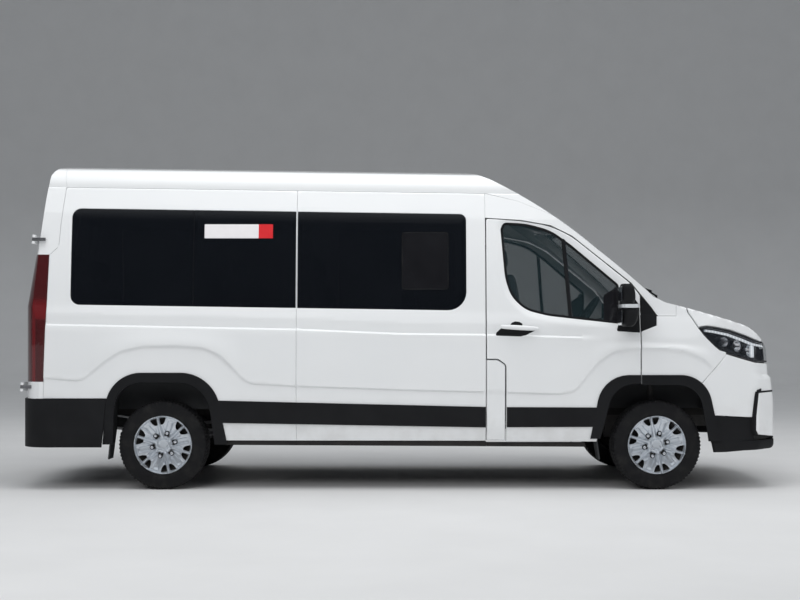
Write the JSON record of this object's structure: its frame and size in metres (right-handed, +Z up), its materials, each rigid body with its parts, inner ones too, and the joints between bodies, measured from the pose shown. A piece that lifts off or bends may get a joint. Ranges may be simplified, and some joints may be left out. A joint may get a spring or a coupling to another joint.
{
  "type": "minibus",
  "caption": "Long, mid-roof passenger minibus, assembled from body panels, opening doors, bonnet and flap, steered front wheels, chassis, engine, seats and glazing",
  "frame": {"origin": "on the ground, under the middle of the overall length and width", "axes": "+X forward, +Y to the vehicle's left, +Z up"},
  "size_m": [5.9398, 2.584, 2.5379],
  "materials": {
    "white_paint": "gloss clear coat",
    "black_trim": "grained",
    "glass_tinted": "dark tint",
    "glass_clear": "clear",
    "lamp_clear": "clear lens",
    "lamp_red": "dark red lens",
    "chassis_black": "satin",
    "cast": "raw",
    "steel": "bare",
    "alloy": "raw",
    "tyre": "rubber",
    "wheel_silver": "silver",
    "interior": "grained",
    "seat_fabric": "woven",
    "plate": "blank"
  },
  "bodies": {
    "body": {"roof_panel": "white_paint", "rear_frame": "white_paint", "side_panel_right": "white_paint", "side_panel_left": "white_paint", "mid_panel_right": "white_paint", "mid_panel_left": "white_paint", "sliding_door_left": "white_paint", "cab_frame": "white_paint", "front_wings": "white_paint", "front_bumper": "white_paint", "front_lower_bumper": "black_trim", "grille": "black_trim", "headlamps": "lamp_clear", "tail_lamps": "lamp_red", "rear_bumper": "black_trim", "side_trims": "black_trim", "scuttle_trims": "black_trim", "side_glass": "glass_tinted", "windscreen": "glass_clear", "floor_pan": "chassis_black", "chassis": "chassis_black", "engine_block": "cast", "rear_axle": "cast", "propshaft": "steel", "leaf_springs": "steel", "front_subframe": "chassis_black", "fuel_tank": "interior", "exhaust": "steel", "door_hinges": "steel", "dashboard": "interior", "cab_seats": "seat_fabric", "passenger_seats": "seat_fabric", "number_plate_front": "plate"},
    "door_front_right": {"door_front_right": "white_paint", "door_glass_right": "glass_clear", "door_trim_right": "black_trim"},
    "door_front_left": {"door_front_left": "white_paint", "door_glass_left": "glass_clear", "door_trim_left": "black_trim"},
    "rear_door_right": {"rear_door_right": "white_paint", "rear_glass_right": "glass_tinted", "number_plate_rear": "plate"},
    "rear_door_left": {"rear_door_left": "white_paint", "rear_glass_left": "glass_tinted"},
    "bonnet": {"bonnet": "white_paint"},
    "fuel_flap": {"fuel_flap": "white_paint"},
    "steering_wheel": {"steering_wheel": "interior"},
    "knuckle_right": {"knuckle_right": "cast"},
    "knuckle_left": {"knuckle_left": "cast"},
    "wheel_front_right": {"tyre_front_right": "tyre", "rim_front_right": "wheel_silver"},
    "wheel_front_left": {"tyre_front_left": "tyre", "rim_front_left": "wheel_silver"},
    "wheel_rear_right": {"tyre_rear_right": "tyre", "rim_rear_right": "wheel_silver"},
    "wheel_rear_left": {"tyre_rear_left": "tyre", "rim_rear_left": "wheel_silver"}
  },
  "joints": [
    {"name": "front_door_right_hinge", "type": "hinge", "parent": "body", "child": "door_front_right", "pos_m": [1.783, -1.02475, 0.6], "axis": [0, 0.035, 0.9994], "range_deg": [0, 65]},
    {"name": "front_door_left_hinge", "type": "hinge", "parent": "body", "child": "door_front_left", "pos_m": [1.783, 1.02475, 0.6], "axis": [0, 0.035, -0.9994], "range_deg": [0, 65]},
    {"name": "rear_door_right_hinge", "type": "hinge", "parent": "body", "child": "rear_door_right", "pos_m": [-2.876, -0.974, 0.783], "axis": [0.08, 0, 0.9968], "range_deg": [0, 180]},
    {"name": "rear_door_left_hinge", "type": "hinge", "parent": "body", "child": "rear_door_left", "pos_m": [-2.876, 0.974, 0.783], "axis": [-0.08, 0, -0.9968], "range_deg": [0, 180]},
    {"name": "bonnet_hinge", "type": "hinge", "parent": "body", "child": "bonnet", "pos_m": [2.104, 0, 1.452], "axis": [0, -1, 0], "range_deg": [0, 50]},
    {"name": "fuel_flap_hinge", "type": "hinge", "parent": "body", "child": "fuel_flap", "pos_m": [0.66, -1.022, 0.68], "axis": [0, 0, -1], "range_deg": [0, 90]},
    {"name": "steer_right", "type": "hinge", "parent": "body", "child": "knuckle_right", "pos_m": [1.955, -0.8, 0.25], "axis": [0, 0.2309, 0.973], "range_deg": [-32, 32]},
    {"name": "steer_left", "type": "hinge", "parent": "body", "child": "knuckle_left", "pos_m": [1.955, 0.8, 0.25], "axis": [0, -0.2309, 0.973], "range_deg": [-32, 32]},
    {"name": "steering_wheel_turn", "type": "hinge", "parent": "body", "child": "steering_wheel", "pos_m": [1.455, -0.54, 1.31], "axis": [-0.8211, 0, 0.5708], "range_deg": [-512, 512]},
    {"name": "wheel_front_right_spin", "type": "hinge", "parent": "knuckle_right", "child": "wheel_front_right", "pos_m": [1.955, -0.868, 0.34], "axis": [0, 1, 0], "continuous": true},
    {"name": "wheel_front_left_spin", "type": "hinge", "parent": "knuckle_left", "child": "wheel_front_left", "pos_m": [1.955, 0.868, 0.34], "axis": [0, 1, 0], "continuous": true},
    {"name": "wheel_rear_right_spin", "type": "hinge", "parent": "body", "child": "wheel_rear_right", "pos_m": [-1.805, -0.868, 0.34], "axis": [0, 1, 0], "continuous": true},
    {"name": "wheel_rear_left_spin", "type": "hinge", "parent": "body", "child": "wheel_rear_left", "pos_m": [-1.805, 0.868, 0.34], "axis": [0, 1, 0], "continuous": true}
  ],
  "couplings": [
    {"joint": "steer_left", "follows": "steer_right", "ratio": 1},
    {"joint": "steering_wheel_turn", "follows": "steer_right", "ratio": 16}
  ]
}
